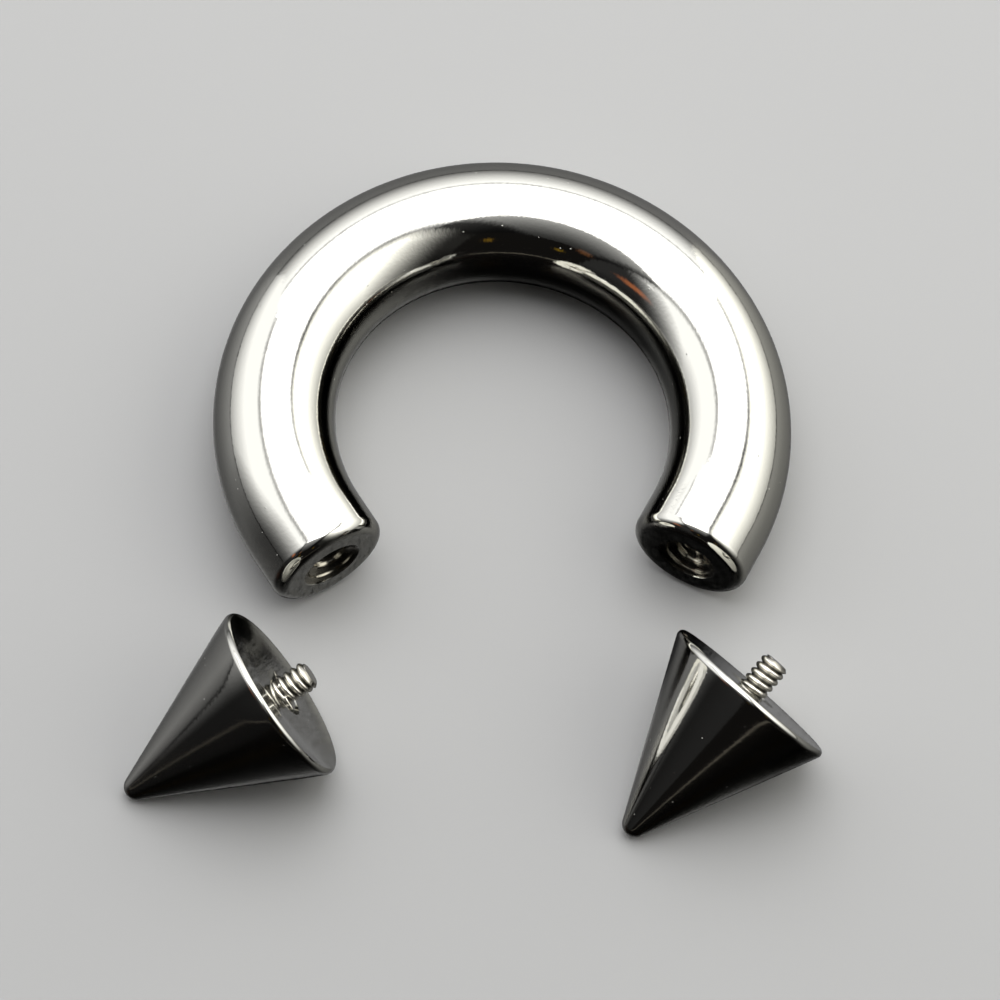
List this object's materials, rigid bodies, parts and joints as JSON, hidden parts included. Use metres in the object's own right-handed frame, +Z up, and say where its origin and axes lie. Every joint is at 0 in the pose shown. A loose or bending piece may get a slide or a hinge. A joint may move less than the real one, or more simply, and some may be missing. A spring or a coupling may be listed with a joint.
{
  "type": "horseshoe barbell",
  "caption": "Body-jewellery horseshoe barbell lying flat: a bent polished steel bar with threaded ends, and its screw-in cones taken off and laid beside it.",
  "frame": {"origin": "middle of the box round the laid-out set, on the surface that it lies on", "axes": "+Z up, -Y towards the open side of the horseshoe, +X towards the bar's right end as seen from the open side with the far side of the bend away from the viewer"},
  "size_m": [0.0444, 0.047, 0.011],
  "materials": {
    "bar_steel": "mirror-polished stainless steel",
    "cone_steel": "mirror-polished stainless steel, turned base",
    "stud_steel": "stainless steel as cut by the thread tool"
  },
  "bodies": {
    "root": {"horseshoe_bar": "bar_steel", "left_cone": "cone_steel", "left_stud": "stud_steel", "right_cone": "cone_steel", "right_stud": "stud_steel"}
  },
  "joints": []
}
